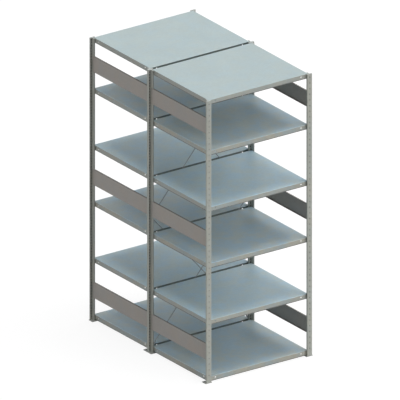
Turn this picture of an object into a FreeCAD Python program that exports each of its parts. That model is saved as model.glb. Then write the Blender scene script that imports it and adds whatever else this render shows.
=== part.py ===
import FreeCAD, Part
import math
import os

# Double-sided boltless steel library shelving, one bay long, at full size in millimetres.
#
# Two runs of six folded steel shelves stand back to back between two end frames. Each end
# frame has four roll-formed T posts: an outer and an inner post for each run, the two inner
# ones touching flange to flange at the middle of the unit. Depth braces hook into the webs
# of the posts, bent strip clips hook into their flanges and carry the shelves, and two pairs
# of crossed rods brace the middle plane, in the gap between the runs.
#
# The origin is on the floor under the centre of the unit. +X runs along the shelves, +Y from
# the front run to the rear run, and +Z is up. Each shape is made once, at the front left
# post or in the front run, and mirrored into its other places.

V = FreeCAD.Vector

# ---- whole unit ----------------------------------------------------------------------------
UNIT_HEIGHT = 2500.0           # floor to the top shelf's surface and to the tops of the posts
UNIT_DEPTH = 1670.0            # over the outer faces of the front and rear posts
FRAME_PITCH = 1006.0           # between the web centres of the two end frames
SHELF_LEVELS = (50.0, 550.0, 1050.0, 1550.0, 2050.0, 2500.0)       # shelf surfaces
BRACE_LEVELS = {"low": 200.0, "middle": 1200.0, "high": 2200.0}    # lower edges of braces

# ---- T post, one strip folded to a flange and a web of two leaves --------------------------
POST_SHEET = 1.5
POST_BEND = 2.5                # outside radius of the bends beside the flange's outer face
POST_DEPTH = 42.0              # flange and web together
FLANGE_WIDTH = 48.0
FLANGE_DEPTH = 12.0
WEB_WIDTH = 10.0
WEB_SEAM = 3.0                 # open seam between the strip's edges, along the web's nose
FACE_HOLE_WIDTH = 7.0          # accessory holes down the middle of the flange
FACE_HOLE_HEIGHT = 12.0
FACE_HOLE_PITCH = 50.0
FACE_HOLE_FIRST = 70.0         # height of the lowest one
SLOT_WIDTH = 9.0               # hook slots in the flange's inner face
SLOT_HEIGHT = 14.0
SLOT_OFFSET = 14.5             # from the web's centre plane to a slot's centre

# ---- foot ----------------------------------------------------------------------------------
FOOT_WIDTH = 65.0
FOOT_LENGTH = 58.0
FOOT_PLATE = 4.0
PLUG_WIDTH = 43.0              # tongue that stands inside the flange
PLUG_THICKNESS = 3.0
PLUG_HEIGHT = 30.0
ANCHOR_HOLE_RADIUS = 5.25
ANCHOR_FROM_WEB = 19.0         # hole centre, outwards from the web's centre plane
ANCHOR_FROM_FACE = 34.0        # hole centre, behind the post's face

# ---- shelf ---------------------------------------------------------------------------------
SHELF_LENGTH = 992.0
SHELF_DEPTH = 800.0
SHELF_EDGE = 38.0
SHELF_SHEET = 1.0
LONG_LIP = 20.0                # bottom lips of the front and rear edges
LONG_HEM = 9.0                 # height of the same lips' ends, turned up again
SHORT_LIP = 15.0               # bottom lips of the two ends
LIP_RELIEF = 2.0               # between neighbouring lips at a corner
EDGE_HOLE = 10.0               # square holes for dividers and label holders
EDGE_HOLE_FROM_END = 68.0
EDGE_HOLE_BELOW_TOP = 17.0
STIFFENER_LENGTH = 940.0
STIFFENER_HEIGHT = 24.0
STIFFENER_CROWN = 45.0
STIFFENER_FLANGE = 16.0

# ---- depth brace ---------------------------------------------------------------------------
BRACE_HEIGHT = 145.0
BRACE_SHEET = 1.5
BRACE_LIP = 12.0
BRACE_END_GAP = 8.0            # from a flange's inner face to the end of the brace
BRACE_LIP_GAP = 4.0            # from a web's nose to the end of a lip
TONGUE_FROM_EDGE = 30.0        # from the brace's lower and upper edges to its tongues
TONGUE_REACH = 6.5             # from the brace's inner face to the tip of a tongue
TONGUE_DROP = 6.0              # the tongue's hook, behind the web's outer leaf
TONGUE_SLOT_WIDTH = 2.4

# ---- shelf clip, a bent strip --------------------------------------------------------------
CLIP_SHEET = 2.0
CLIP_WIDTH = 8.0
CLIP_SEAT = 21.0               # length of the seat, from the flange's inner face
HOOK_UP = 12.0                 # from the seat to the lower edge of the slot that holds a clip
HOOK_DROP = 5.0                # how far a hook turns down behind the flange's sheet
HOOK_CLEARANCE = 0.3

# ---- crossed rods in the middle plane ------------------------------------------------------
ROD_DIAMETER = 7.0
ROD_PLANE = 9.5                # from the middle plane to a rod's axis
ROD_HOOK_HEIGHTS = {"lower": (56.0, 1181.0), "upper": (1206.0, 2331.0)}   # slot centres
PAD_SHEET = 2.5                # flattened rod end
PAD_WIDTH = 14.0
PAD_BEFORE_HOOK = 5.0
PAD_AFTER_HOOK = 40.0
ROD_FROM_HOOK = 21.0           # along the rod, from its hook to its round part

# ---- row connectors, channels that hold the inner posts together ---------------------------
CONNECTOR_LEVELS = (400.0, 1400.0, 2150.0)
CONNECTOR_HEIGHT = 40.0
CONNECTOR_SHEET = 2.0
CONNECTOR_LEG = 14.0

# ---- places that follow from the sizes -----------------------------------------------------
WEB_X = -FRAME_PITCH / 2.0                     # web centre plane of the left frame
FLANGE_END_X = WEB_X + FLANGE_WIDTH / 2.0      # the flange's edge on the shelves' side
SLOT_X = WEB_X + SLOT_OFFSET
FACE_Y = -UNIT_DEPTH / 2.0                     # outer face of the front post
INNER_FACE_Y = FACE_Y + FLANGE_DEPTH           # inner face of the front post's flange
NOSE_Y = FACE_Y + POST_DEPTH
RUN_CENTRE_Y = FACE_Y / 2.0                    # the front run is symmetric about this plane
SHELF_END_X = -SHELF_LENGTH / 2.0
SHELF_FRONT_Y = RUN_CENTRE_Y - SHELF_DEPTH / 2.0
SHELF_REAR_Y = SHELF_FRONT_Y + SHELF_DEPTH
BRACE_FACE_X = WEB_X - WEB_WIDTH / 2.0         # a brace's inner face, on the web's outer leaf


# ---- helpers -------------------------------------------------------------------------------
def block(x_range, y_range, z_range):
    """A block with its sides along the axes, between the two ends of each range."""
    ranges = (x_range, y_range, z_range)
    size = [max(r) - min(r) for r in ranges]
    return Part.makeBox(size[0], size[1], size[2], V(*[min(r) for r in ranges]))


def around(centre, width):
    """The two ends of a range of the given width about its centre."""
    return (centre - width / 2.0, centre + width / 2.0)


def prism(points, direction):
    """An outline of points, closed and extruded along a vector."""
    return Part.Face(Part.makePolygon(points + [points[0]])).extrude(direction)


def joined(shapes):
    """One solid from shapes that meet or overlap."""
    return shapes[0].fuse(shapes[1:]).removeSplitter()


def in_run(shape, run):
    """The front run's shape, or its mirror image in the rear run."""
    return shape.mirror(V(0, 0, 0), V(0, 1, 0)) if run == "rear" else shape


def at_side(shape, side):
    """The left frame's shape, or its mirror image in the right frame."""
    return shape.mirror(V(0, 0, 0), V(1, 0, 0)) if side == "right" else shape


def at_row(shape, row):
    """The outer post's shape, or its mirror image at the inner post of the same run."""
    return shape.mirror(V(0, RUN_CENTRE_Y, 0), V(0, 1, 0)) if row == "inner" else shape


def export(name, shapes):
    """Write the solids of one node to the node's own file."""
    solids = [solid for shape in shapes for solid in shape.Solids]
    node = solids[0] if len(solids) == 1 else Part.makeCompound(solids)
    if not node.isValid():
        raise ValueError(name + " isn't a valid shape")
    node.exportStep("parts/" + name + ".step")
    volume = sum(solid.Volume for solid in solids) / 1000.0
    print("%-28s %2d solids %9.1f cm3" % (name, len(solids), volume))


# ---- posts ---------------------------------------------------------------------------------
def folded_post():
    """The bare T post at the front left, one strip with its seam open on the web's nose."""
    half_flange = FLANGE_WIDTH / 2.0
    half_web = WEB_WIDTH / 2.0
    half_seam = WEB_SEAM / 2.0
    sheet = POST_SHEET
    outer_side = [(half_flange, 0.0), (half_flange, FLANGE_DEPTH), (half_web, FLANGE_DEPTH),
                  (half_web, POST_DEPTH), (half_seam, POST_DEPTH)]
    inner_side = [(half_flange - sheet, sheet), (half_flange - sheet, FLANGE_DEPTH - sheet),
                  (half_web - sheet, FLANGE_DEPTH - sheet),
                  (half_web - sheet, POST_DEPTH - sheet), (half_seam, POST_DEPTH - sheet)]
    section = [(-x, depth) for x, depth in reversed(outer_side)] + outer_side
    section += inner_side[::-1] + [(-x, depth) for x, depth in inner_side]
    outline = [V(WEB_X + x, FACE_Y + depth, FOOT_PLATE) for x, depth in section]
    post = prism(outline, V(0, 0, UNIT_HEIGHT - FOOT_PLATE))
    bends = [edge for edge in post.Edges
             if abs(edge.CenterOfMass.y - FACE_Y) < 0.01
             and abs(abs(edge.CenterOfMass.x - WEB_X) - half_flange) < 0.01
             and edge.Length > UNIT_HEIGHT / 2.0]
    return post.makeFillet(POST_BEND, bends)


def face_holes():
    """Cutters for the row of accessory holes down the middle of the flange."""
    count = int((UNIT_HEIGHT - FACE_HOLE_FIRST) / FACE_HOLE_PITCH) + 1
    heights = [FACE_HOLE_FIRST + FACE_HOLE_PITCH * i for i in range(count)]
    y_range = (FACE_Y - 1.0, FACE_Y + POST_SHEET + 1.0)
    return [block(around(WEB_X, FACE_HOLE_WIDTH), y_range, around(z, FACE_HOLE_HEIGHT))
            for z in heights]


def flange_slot(height):
    """Cutter for one hook slot in the flange's inner face, centred at a height."""
    y_range = (INNER_FACE_Y - POST_SHEET - 1.0, INNER_FACE_Y + 1.0)
    return block(around(SLOT_X, SLOT_WIDTH), y_range, around(height, SLOT_HEIGHT))


def clip_slot_height(level):
    """Centre of the slot that holds the clip under the shelf at a level."""
    return level - SHELF_EDGE + HOOK_UP + SLOT_HEIGHT / 2.0


def tongue_slot(brace_level):
    """Cutter for a brace tongue's slot in the outer leaf of the web."""
    x_range = (BRACE_FACE_X - 1.0, BRACE_FACE_X + POST_SHEET + 1.0)
    y_range = around(INNER_FACE_Y + BRACE_END_GAP + BRACE_SHEET / 2.0, TONGUE_SLOT_WIDTH)
    low = brace_level + TONGUE_FROM_EDGE
    high = brace_level + BRACE_HEIGHT - TONGUE_FROM_EDGE + TONGUE_DROP
    return block(x_range, y_range, (low, high))


def post(row, hook_heights):
    """The front left post, pierced for its clips, braces and rod hooks."""
    cutters = [flange_slot(clip_slot_height(level)) for level in SHELF_LEVELS]
    cutters += [tongue_slot(level) for level in BRACE_LEVELS.values()]
    cutters += [flange_slot(height) for height in hook_heights]
    if row == "outer":
        cutters += face_holes()
    return folded_post().cut(cutters)


# ---- feet ----------------------------------------------------------------------------------
def foot():
    """Foot of the front left post: a plate with an anchor hole and a plug tongue."""
    plate = block(around(WEB_X, FOOT_WIDTH), (FACE_Y, FACE_Y + FOOT_LENGTH), (0.0, FOOT_PLATE))
    plug_y = FACE_Y + POST_SHEET
    plug = block(around(WEB_X, PLUG_WIDTH), (plug_y, plug_y + PLUG_THICKNESS),
                 (0.0, FOOT_PLATE + PLUG_HEIGHT))
    centre = V(WEB_X - ANCHOR_FROM_WEB, FACE_Y + ANCHOR_FROM_FACE, -1.0)
    anchor_hole = Part.makeCylinder(ANCHOR_HOLE_RADIUS, FOOT_PLATE + 2.0, centre)
    return joined([plate, plug]).cut(anchor_hole)


# ---- shelves -------------------------------------------------------------------------------
def long_edge(level):
    """The front edge's fold: wall, bottom lip and its turned-up end, as one strip."""
    sheet = SHELF_SHEET
    bottom = level - SHELF_EDGE
    front = SHELF_FRONT_Y
    lip_end = front + LONG_LIP
    section = [(front, level), (front, bottom), (lip_end, bottom), (lip_end, bottom + LONG_HEM),
               (lip_end - sheet, bottom + LONG_HEM), (lip_end - sheet, bottom + sheet),
               (front + sheet, bottom + sheet), (front + sheet, level)]
    return prism([V(SHELF_END_X, y, z) for y, z in section], V(SHELF_LENGTH, 0, 0))


def short_edge(level):
    """The left edge's fold: a wall with a bottom lip, cut back from the long lips."""
    sheet = SHELF_SHEET
    bottom = level - SHELF_EDGE
    relief = LONG_LIP + LIP_RELIEF
    wall = block((SHELF_END_X, SHELF_END_X + sheet), (SHELF_FRONT_Y, SHELF_REAR_Y),
                 (bottom, level))
    lip = block((SHELF_END_X, SHELF_END_X + SHORT_LIP),
                (SHELF_FRONT_Y + relief, SHELF_REAR_Y - relief), (bottom, bottom + sheet))
    return joined([wall, lip])


def edge_holes(level):
    """Cutters for the square holes near the ends of the four edges."""
    z_range = around(level - EDGE_HOLE_BELOW_TOP, EDGE_HOLE)
    cutters = []
    for x in (SHELF_END_X + EDGE_HOLE_FROM_END, -SHELF_END_X - EDGE_HOLE_FROM_END):
        for y in (SHELF_FRONT_Y, SHELF_REAR_Y):
            cutters.append(block(around(x, EDGE_HOLE), around(y, 4.0 * SHELF_SHEET), z_range))
    for y in (SHELF_FRONT_Y + EDGE_HOLE_FROM_END, SHELF_REAR_Y - EDGE_HOLE_FROM_END):
        for x in (SHELF_END_X, -SHELF_END_X):
            cutters.append(block(around(x, 4.0 * SHELF_SHEET), around(y, EDGE_HOLE), z_range))
    return cutters


def shelf(level):
    """A shelf of the front run: one folded sheet with its top surface at a level."""
    top = block(around(0.0, SHELF_LENGTH), (SHELF_FRONT_Y, SHELF_REAR_Y),
                (level - SHELF_SHEET, level))
    front = long_edge(level)
    left = short_edge(level)
    tray = joined([top, front, at_row(front, "inner"), left, at_side(left, "right")])
    return tray.cut(edge_holes(level))


def stiffener(level):
    """Hat channel welded under the middle of a shelf of the front run, along its length."""
    sheet = SHELF_SHEET
    top = level - SHELF_SHEET
    low = top - STIFFENER_HEIGHT
    half_crown = STIFFENER_CROWN / 2.0
    half_width = half_crown + STIFFENER_FLANGE
    right = [(half_width, top), (half_width, top - sheet), (half_crown, top - sheet),
             (half_crown, low)]
    inner = [(half_crown - sheet, low + sheet), (half_crown - sheet, top)]
    section = right + [(-y, z) for y, z in reversed(right)]
    section += [(-y, z) for y, z in reversed(inner)] + inner
    start = -STIFFENER_LENGTH / 2.0
    return prism([V(start, RUN_CENTRE_Y + y, z) for y, z in section], V(-2.0 * start, 0, 0))


# ---- depth braces --------------------------------------------------------------------------
def tongue(level):
    """The hooked tongue at the brace's front end, bent in through the web's outer leaf."""
    low = level + TONGUE_FROM_EDGE
    high = level + BRACE_HEIGHT - TONGUE_FROM_EDGE
    root = BRACE_FACE_X - BRACE_SHEET
    behind_leaf = BRACE_FACE_X + POST_SHEET + HOOK_CLEARANCE
    tip = BRACE_FACE_X + TONGUE_REACH
    section = [(root, low), (behind_leaf, low), (behind_leaf, low - TONGUE_DROP),
               (tip, low - TONGUE_DROP), (tip, high), (root, high)]
    start = INNER_FACE_Y + BRACE_END_GAP
    return prism([V(x, start, z) for x, z in section], V(0, BRACE_SHEET, 0))


def depth_brace(level):
    """Brace between the front run's left posts, hung on the outer sides of their webs."""
    outer_x = BRACE_FACE_X - BRACE_SHEET
    half_plate = INNER_FACE_Y + BRACE_END_GAP - RUN_CENTRE_Y
    half_lip = NOSE_Y + BRACE_LIP_GAP - RUN_CENTRE_Y
    plate = block((outer_x, BRACE_FACE_X), around(RUN_CENTRE_Y, -2.0 * half_plate),
                  (level, level + BRACE_HEIGHT))
    lips = [block((outer_x, outer_x + BRACE_LIP), around(RUN_CENTRE_Y, -2.0 * half_lip), z_range)
            for z_range in ((level, level + BRACE_SHEET),
                            (level + BRACE_HEIGHT - BRACE_SHEET, level + BRACE_HEIGHT))]
    hook = tongue(level)
    return joined([plate] + lips + [hook, at_row(hook, "inner")])


# ---- clips ---------------------------------------------------------------------------------
def clip(level):
    """Clip at the front left post: a strip hooked in a slot and bent out to a seat."""
    sheet = CLIP_SHEET
    seat = level - SHELF_EDGE
    catch = seat + HOOK_UP
    face = INNER_FACE_Y
    hook_y = face - POST_SHEET - HOOK_CLEARANCE
    seat_end = face + CLIP_SEAT
    section = [(seat_end, seat), (seat_end, seat - sheet), (face, seat - sheet), (face, catch),
               (hook_y, catch),
               (hook_y, catch - HOOK_DROP), (hook_y - sheet, catch - HOOK_DROP),
               (hook_y - sheet, catch + sheet), (face + sheet, catch + sheet),
               (face + sheet, seat)]
    start = SLOT_X - CLIP_WIDTH / 2.0
    return prism([V(start, y, z) for y, z in section], V(CLIP_WIDTH, 0, 0))


# ---- crossed rods --------------------------------------------------------------------------
def rod_hook(height):
    """Hook of a rod end, through a slot in the front run's inner post on the left."""
    sheet = PAD_SHEET
    face = -FLANGE_DEPTH
    behind_sheet = face + POST_SHEET + HOOK_CLEARANCE
    catch = height - SLOT_HEIGHT / 2.0
    section = [(face - sheet, catch), (behind_sheet, catch), (behind_sheet, catch - HOOK_DROP),
               (behind_sheet + sheet, catch - HOOK_DROP),
               (behind_sheet + sheet, catch + sheet), (face - sheet, catch + sheet)]
    start = SLOT_X - CLIP_WIDTH / 2.0
    return prism([V(start, y, z) for y, z in section], V(CLIP_WIDTH, 0, 0))


def rod_pad(angle, height):
    """Flattened end of a rod, flat on the flange and in line with the rod."""
    pad = block((-PAD_BEFORE_HOOK, PAD_AFTER_HOOK), (-PAD_SHEET, 0.0), around(0.0, PAD_WIDTH))
    pad.rotate(V(0, 0, 0), V(0, 1, 0), -angle)
    pad.translate(V(SLOT_X, -FLANGE_DEPTH, height))
    return pad


def cross_rod(heights):
    """Rod of the front run, from its low end on the left to its high end on the right."""
    low, high = heights
    span = -2.0 * SLOT_X
    rise = high - low
    length = math.hypot(span, rise)
    direction = V(span / length, 0, rise / length)
    angle = math.degrees(math.atan2(rise, span))
    start = V(SLOT_X, -ROD_PLANE, low) + direction * ROD_FROM_HOOK
    bar = Part.makeCylinder(ROD_DIAMETER / 2.0, length - 2.0 * ROD_FROM_HOOK, start, direction)
    low_end = [rod_pad(angle, low), rod_hook(low)]
    high_end = [at_side(rod_pad(-angle, high), "right"), at_side(rod_hook(high), "right")]
    return joined([bar] + low_end + high_end)


# ---- row connectors ------------------------------------------------------------------------
def row_connector(level):
    """Channel over the edges of the two inner posts of the left frame."""
    outer = FLANGE_DEPTH + CONNECTOR_SHEET
    shell = block((FLANGE_END_X - CONNECTOR_LEG, FLANGE_END_X + CONNECTOR_SHEET),
                  (-outer, outer), around(level, CONNECTOR_HEIGHT))
    room = block((FLANGE_END_X - CONNECTOR_LEG, FLANGE_END_X), (-FLANGE_DEPTH, FLANGE_DEPTH),
                 around(level, CONNECTOR_HEIGHT))
    return shell.cut(room)


# ---- build ---------------------------------------------------------------------------------
def hook_heights(run, side, row):
    """Heights of the rod hooks that a post carries."""
    if row == "outer":
        return []
    end = 0 if (run == "front") == (side == "left") else 1
    return [heights[end] for heights in ROD_HOOK_HEIGHTS.values()]


def main():
    os.makedirs("parts", exist_ok=True)
    for run in ("front", "rear"):
        for side in ("left", "right"):
            for row in ("outer", "inner"):
                place = "%s_%s_%s" % (run, row, side)

                def placed(shape):
                    return in_run(at_side(at_row(shape, row), side), run)

                export("post_" + place, [placed(post(row, hook_heights(run, side, row)))])
                export("foot_" + place, [placed(foot())])
                export("clips_" + place, [placed(clip(level)) for level in SHELF_LEVELS])
            for name, level in BRACE_LEVELS.items():
                brace = in_run(at_side(depth_brace(level), side), run)
                export("depth_brace_%s_%s_%s" % (run, side, name), [brace])
        for number, level in enumerate(SHELF_LEVELS, start=1):
            export("shelf_%s_%d" % (run, number), [in_run(shelf(level), run)])
        stiffeners = [in_run(stiffener(level), run) for level in SHELF_LEVELS]
        export("shelf_stiffeners_" + run, stiffeners)
    for name, heights in ROD_HOOK_HEIGHTS.items():
        rod = cross_rod(heights)
        export("cross_rod_%s_front" % name, [rod])
        export("cross_rod_%s_rear" % name, [at_side(in_run(rod, "rear"), "right")])
    for side in ("left", "right"):
        connectors = [at_side(row_connector(level), side) for level in CONNECTOR_LEVELS]
        export("row_connectors_" + side, connectors)


main()
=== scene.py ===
import logging
import math
from contextlib import contextmanager
from dataclasses import dataclass, replace
from enum import Enum
from typing import Callable, Iterator, Optional, Sequence, Union

import bmesh
import bpy
from mathutils import Matrix, Quaternion, Vector


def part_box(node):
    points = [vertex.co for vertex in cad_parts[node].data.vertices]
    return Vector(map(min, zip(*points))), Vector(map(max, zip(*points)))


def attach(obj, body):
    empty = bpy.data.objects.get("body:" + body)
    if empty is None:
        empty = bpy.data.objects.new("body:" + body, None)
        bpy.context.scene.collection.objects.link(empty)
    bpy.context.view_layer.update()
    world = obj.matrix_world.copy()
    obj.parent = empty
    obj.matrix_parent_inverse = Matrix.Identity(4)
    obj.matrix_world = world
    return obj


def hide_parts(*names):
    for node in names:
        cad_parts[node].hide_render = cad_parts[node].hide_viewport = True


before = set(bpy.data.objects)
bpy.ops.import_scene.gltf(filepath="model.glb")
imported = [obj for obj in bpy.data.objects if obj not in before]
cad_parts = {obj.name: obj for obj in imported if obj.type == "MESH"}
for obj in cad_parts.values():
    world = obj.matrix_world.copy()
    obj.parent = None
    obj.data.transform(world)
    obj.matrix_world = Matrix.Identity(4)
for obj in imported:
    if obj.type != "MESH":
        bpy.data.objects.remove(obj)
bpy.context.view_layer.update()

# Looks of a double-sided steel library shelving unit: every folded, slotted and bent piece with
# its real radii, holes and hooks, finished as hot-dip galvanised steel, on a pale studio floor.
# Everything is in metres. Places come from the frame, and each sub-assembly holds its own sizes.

LOG = logging.getLogger("shelving")
MM = 0.001
SLACK = 0.02 * MM              # two places nearer than this are the same place
SMOOTH_ANGLE = math.radians(40.0)
CUTTER_MARGIN = 1.0 * MM       # how far a cutter stands out of the sheet that it cuts
EDGE_DROP = 5.0 * MM           # how much deeper a shelf's edge is than its CAD solid's


class Axis(Enum):
    """An axis of the shared frame."""

    X = 0
    Y = 1
    Z = 2


class Zone(Enum):
    """Which part of a sheet a face belongs to: its own material slot on every piece."""

    SHEET = 0
    # folds, painted brighter as a highlight or darker as shade
    FOLD = 1
    CUT = 2
    # upright walls and plugs, coloured apart from the flats as painted light
    WALL = 3
    # flats in recesses, gaps or on lips, darker as painted shade
    DULL = 4
    # the inside of a hollow section, darker as painted shade
    INSIDE = 5
    # the bottom band of a wall, darker as painted shade
    HEM = 6


class Run(Enum):
    """One of the two back-to-back runs of shelves."""

    FRONT = "front"
    REAR = "rear"


class Side(Enum):
    """One of the two end frames."""

    LEFT = "left"
    RIGHT = "right"


class Row(Enum):
    """A post's place in its run: towards the aisle or towards the other run."""

    OUTER = "outer"
    INNER = "inner"


class Level(Enum):
    """The height of a depth brace in its end frame."""

    LOW = "low"
    MIDDLE = "middle"
    HIGH = "high"


class Operation(Enum):
    """What other pieces do to the piece that they are used on."""

    CUT = "DIFFERENCE"
    WELD = "UNION"


class Element(Enum):
    """What an edit-mode step selects."""

    VERTEX = "VERT"
    EDGE = "EDGE"
    FACE = "FACE"


# ---- places --------------------------------------------------------------------------------
def near(value: float, target: float) -> bool:
    """Whether two coordinates are the same place."""
    return abs(value - target) < SLACK


def same_point(first: Vector, second: Vector) -> bool:
    """Whether two points are the same place."""
    return (first - second).length < SLACK


def point(x: float, y: float, z: float) -> Vector:
    """A point of the shared frame."""
    return Vector((x, y, z))


def flush(part: Union[bmesh.types.BMEdge, bmesh.types.BMFace], axis: Axis, place: float) -> bool:
    """Whether an edge or a face lies in a plane square to an axis."""
    return all(near(vertex.co[axis.value], place) for vertex in part.verts)


def runs_along(edge: bmesh.types.BMEdge, axis: Axis) -> bool:
    """Whether an edge runs along an axis."""
    start, end = (vertex.co for vertex in edge.verts)
    return all(near(start[other.value], end[other.value]) for other in Axis if other is not axis)


def upright(face: bpy.types.MeshPolygon) -> bool:
    """Whether a flat is nearer to upright than to level."""
    return abs(face.normal.z) < 0.5


def direction(azimuth: float, elevation: float) -> Vector:
    """The way to a lamp or a camera.

    Args:
        azimuth: 0 in front of the unit and 90 at its right, in degrees.
        elevation: How high it stands, in degrees.

    Returns:
        The way there from the unit, of length 1.
    """
    turn, rise = math.radians(azimuth), math.radians(elevation)
    return point(math.sin(turn) * math.cos(rise), -math.cos(turn) * math.cos(rise),
                 math.sin(rise))


@dataclass(frozen=True)
class Place:
    """Where a mirrored copy of a front left piece goes.

    Args:
        run: The run that it belongs to.
        side: The end frame that it belongs to.
        row: Its row of posts, for pieces that stand on one.
    """

    run: Run = Run.FRONT
    side: Side = Side.LEFT
    row: Row = Row.OUTER

    def matrix(self, lift: float = 0.0) -> Matrix:
        """The mirrorings that carry a front left outer piece here.

        Args:
            lift: How much higher it also goes.

        Returns:
            The matrix of the whole move.
        """
        placed = Matrix.Translation((0.0, 0.0, lift))
        if self.row is Row.INNER:
            low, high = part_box("shelf_front_1")
            placed = mirror_matrix(Axis.Y, (low.y + high.y) / 2.0) @ placed
        if self.side is Side.RIGHT:
            placed = mirror_matrix(Axis.X, 0.0) @ placed
        if self.run is Run.REAR:
            placed = mirror_matrix(Axis.Y, 0.0) @ placed
        return placed

    def post_label(self) -> str:
        """The end of the names of the nodes that belong to one post."""
        return f"{self.run.value}_{self.row.value}_{self.side.value}"


def mirror_matrix(axis: Axis, plane: float) -> Matrix:
    """The mirroring through a plane square to an axis.

    Args:
        axis: The axis that the plane is square to.
        plane: Where the plane crosses that axis.

    Returns:
        The matrix of that mirroring.
    """
    mirror = Matrix.Identity(4)
    mirror[axis.value][axis.value] = -1.0
    mirror[axis.value][3] = 2.0 * plane
    return mirror


def post_places() -> list[Place]:
    """The places of the eight posts, and of the feet and clips that belong to them."""
    return [Place(run, side, row) for run in Run for side in Side for row in Row]


def shelf_lifts(run: Run) -> dict[str, float]:
    """How much higher each shelf of a run is than the lowest.

    Args:
        run: The run.

    Returns:
        The heights, under the names of the CAD nodes, from the lowest up.
    """
    names = sorted(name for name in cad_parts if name.startswith(f"shelf_{run.value}_"))
    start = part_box("shelf_front_1")[1].z
    return {name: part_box(name)[1].z - start for name in names}


def brace_node(run: Run, side: Side, level: Level) -> str:
    """The CAD node of a depth brace."""
    return f"depth_brace_{run.value}_{side.value}_{level.value}"


# ---- the bench: hand steps on one piece -----------------------------------------------------
class Workpiece:
    """A mesh piece on the bench, and the hand steps that shape it.

    Args:
        item: The Blender object.
    """

    def __init__(self, item: bpy.types.Object) -> None:
        self.item = item

    # -- starting points --
    @classmethod
    def panel(cls, name: str, corner: Vector, along: Vector, up: Vector) -> "Workpiece":
        """A flat rectangle.

        Args:
            name: The new object's name.
            corner: One of its corners.
            along: The edge from that corner one way.
            up: The edge from that corner the other way.

        Returns:
            The new piece, with one face.
        """
        bpy.ops.object.select_all(action="DESELECT")
        bpy.ops.mesh.primitive_plane_add(size=1.0)
        piece = cls(bpy.context.object)
        piece.rename(name)
        placed = Matrix.Identity(4)
        for index, column in enumerate((along, up, along.cross(up).normalized())):
            for row in range(3):
                placed[row][index] = column[row]
        placed.translation = corner + (along + up) / 2.0
        piece.settle(placed)
        return piece

    @classmethod
    def strip(cls, name: str, line: Sequence[Vector], width: Vector) -> "Workpiece":
        """A strip folded along a line: a first flat, and every further one extruded from it.

        Args:
            name: The new object's name.
            line: The corners of the folded line.
            width: The strip's width, square to the line.

        Returns:
            The new piece, one face for each flat.
        """
        piece = cls.panel(name, line[0], line[1] - line[0], width)
        with piece.edit():
            piece.pick_edges([line[1] + width / 2.0])
            for start, end in zip(line[1:], line[2:]):
                piece.extrude(end - start)
        return piece

    @classmethod
    def block(cls, name: str, low: Vector, high: Vector) -> "Workpiece":
        """A square block.

        Args:
            name: The new object's name.
            low: Its lowest corner on every axis.
            high: Its highest corner on every axis.

        Returns:
            The new piece.
        """
        bpy.ops.object.select_all(action="DESELECT")
        bpy.ops.mesh.primitive_cube_add(size=1.0)
        piece = cls(bpy.context.object)
        piece.rename(name)
        size = high - low
        piece.settle(Matrix.Translation((low + high) / 2.0) @ Matrix.Diagonal((*size, 1.0)))
        return piece

    @classmethod
    def bar(cls, name: str, radius: float, start: Vector, end: Vector, sides: int) -> "Workpiece":
        """A round bar.

        Args:
            name: The new object's name.
            radius: Its radius.
            start: The centre of one end.
            end: The centre of the other end.
            sides: How many flats stand for its round.

        Returns:
            The new piece.
        """
        bpy.ops.object.select_all(action="DESELECT")
        run = end - start
        bpy.ops.mesh.primitive_cylinder_add(vertices=sides, radius=radius, depth=run.length)
        piece = cls(bpy.context.object)
        piece.rename(name)
        turned = Vector((0.0, 0.0, 1.0)).rotation_difference(run).to_matrix().to_4x4()
        piece.settle(Matrix.Translation((start + end) / 2.0) @ turned)
        return piece

    def mirrored_copy(self, name: str, placed: Matrix) -> "Workpiece":
        """A copy with its own mesh, carried elsewhere.

        Args:
            name: The copy's name.
            placed: Where it goes, which may mirror it.

        Returns:
            The copy, with its faces outwards.
        """
        item = self.item.copy()
        item.data = self.item.data.copy()
        bpy.context.scene.collection.objects.link(item)
        item.data.transform(placed)
        if placed.determinant() < 0.0:
            item.data.flip_normals()
        copy = Workpiece(item)
        copy.rename(name)
        return copy

    # -- bookkeeping --
    def rename(self, name: str) -> None:
        """Name the object and its mesh alike."""
        self.item.name = name
        self.item.data.name = name

    def settle(self, placed: Matrix) -> None:
        """Carry the object to a place and leave that place in its mesh.

        Args:
            placed: The matrix of that place.
        """
        self.item.matrix_world = placed
        self.activate()
        bpy.ops.object.transform_apply(location=True, rotation=True, scale=True)

    def activate(self) -> None:
        """Make this the only selected object, and the active one."""
        bpy.ops.object.select_all(action="DESELECT")
        self.item.select_set(True)
        bpy.context.view_layer.objects.active = self.item

    def apply(self, modifier: bpy.types.Modifier) -> None:
        """Apply a modifier of this piece."""
        self.activate()
        bpy.ops.object.modifier_apply(modifier=modifier.name)

    @contextmanager
    def edit(self) -> Iterator[None]:
        """Edit mode on this piece alone."""
        self.activate()
        bpy.ops.object.mode_set(mode="EDIT")
        try:
            yield
        finally:
            bpy.ops.object.mode_set(mode="OBJECT")

    # -- edit-mode steps --
    def pick(self, element: Element, test: Callable[..., bool]) -> None:
        """Select what passes a test, and nothing else.

        Args:
            element: Whether vertices, edges or faces are tested.
            test: Gets the element and says whether it is selected.
        """
        bpy.ops.mesh.select_mode(type=element.value)
        bpy.ops.mesh.select_all(action="DESELECT")
        mesh = bmesh.from_edit_mesh(self.item.data)
        items = {Element.VERTEX: mesh.verts, Element.EDGE: mesh.edges, Element.FACE: mesh.faces}
        for entry in items[element]:
            if test(entry):
                entry.select_set(True)
        mesh.select_flush_mode()
        bmesh.update_edit_mesh(self.item.data)

    def pick_edges(self, middles: Sequence[Vector]) -> None:
        """Select edges by their middles.

        Args:
            middles: The middles of the edges that are wanted.
        """
        def wanted(edge: bmesh.types.BMEdge) -> bool:
            """Whether an edge's middle is one of them."""
            middle = (edge.verts[0].co + edge.verts[1].co) / 2.0
            return any(same_point(middle, target) for target in middles)

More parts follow.
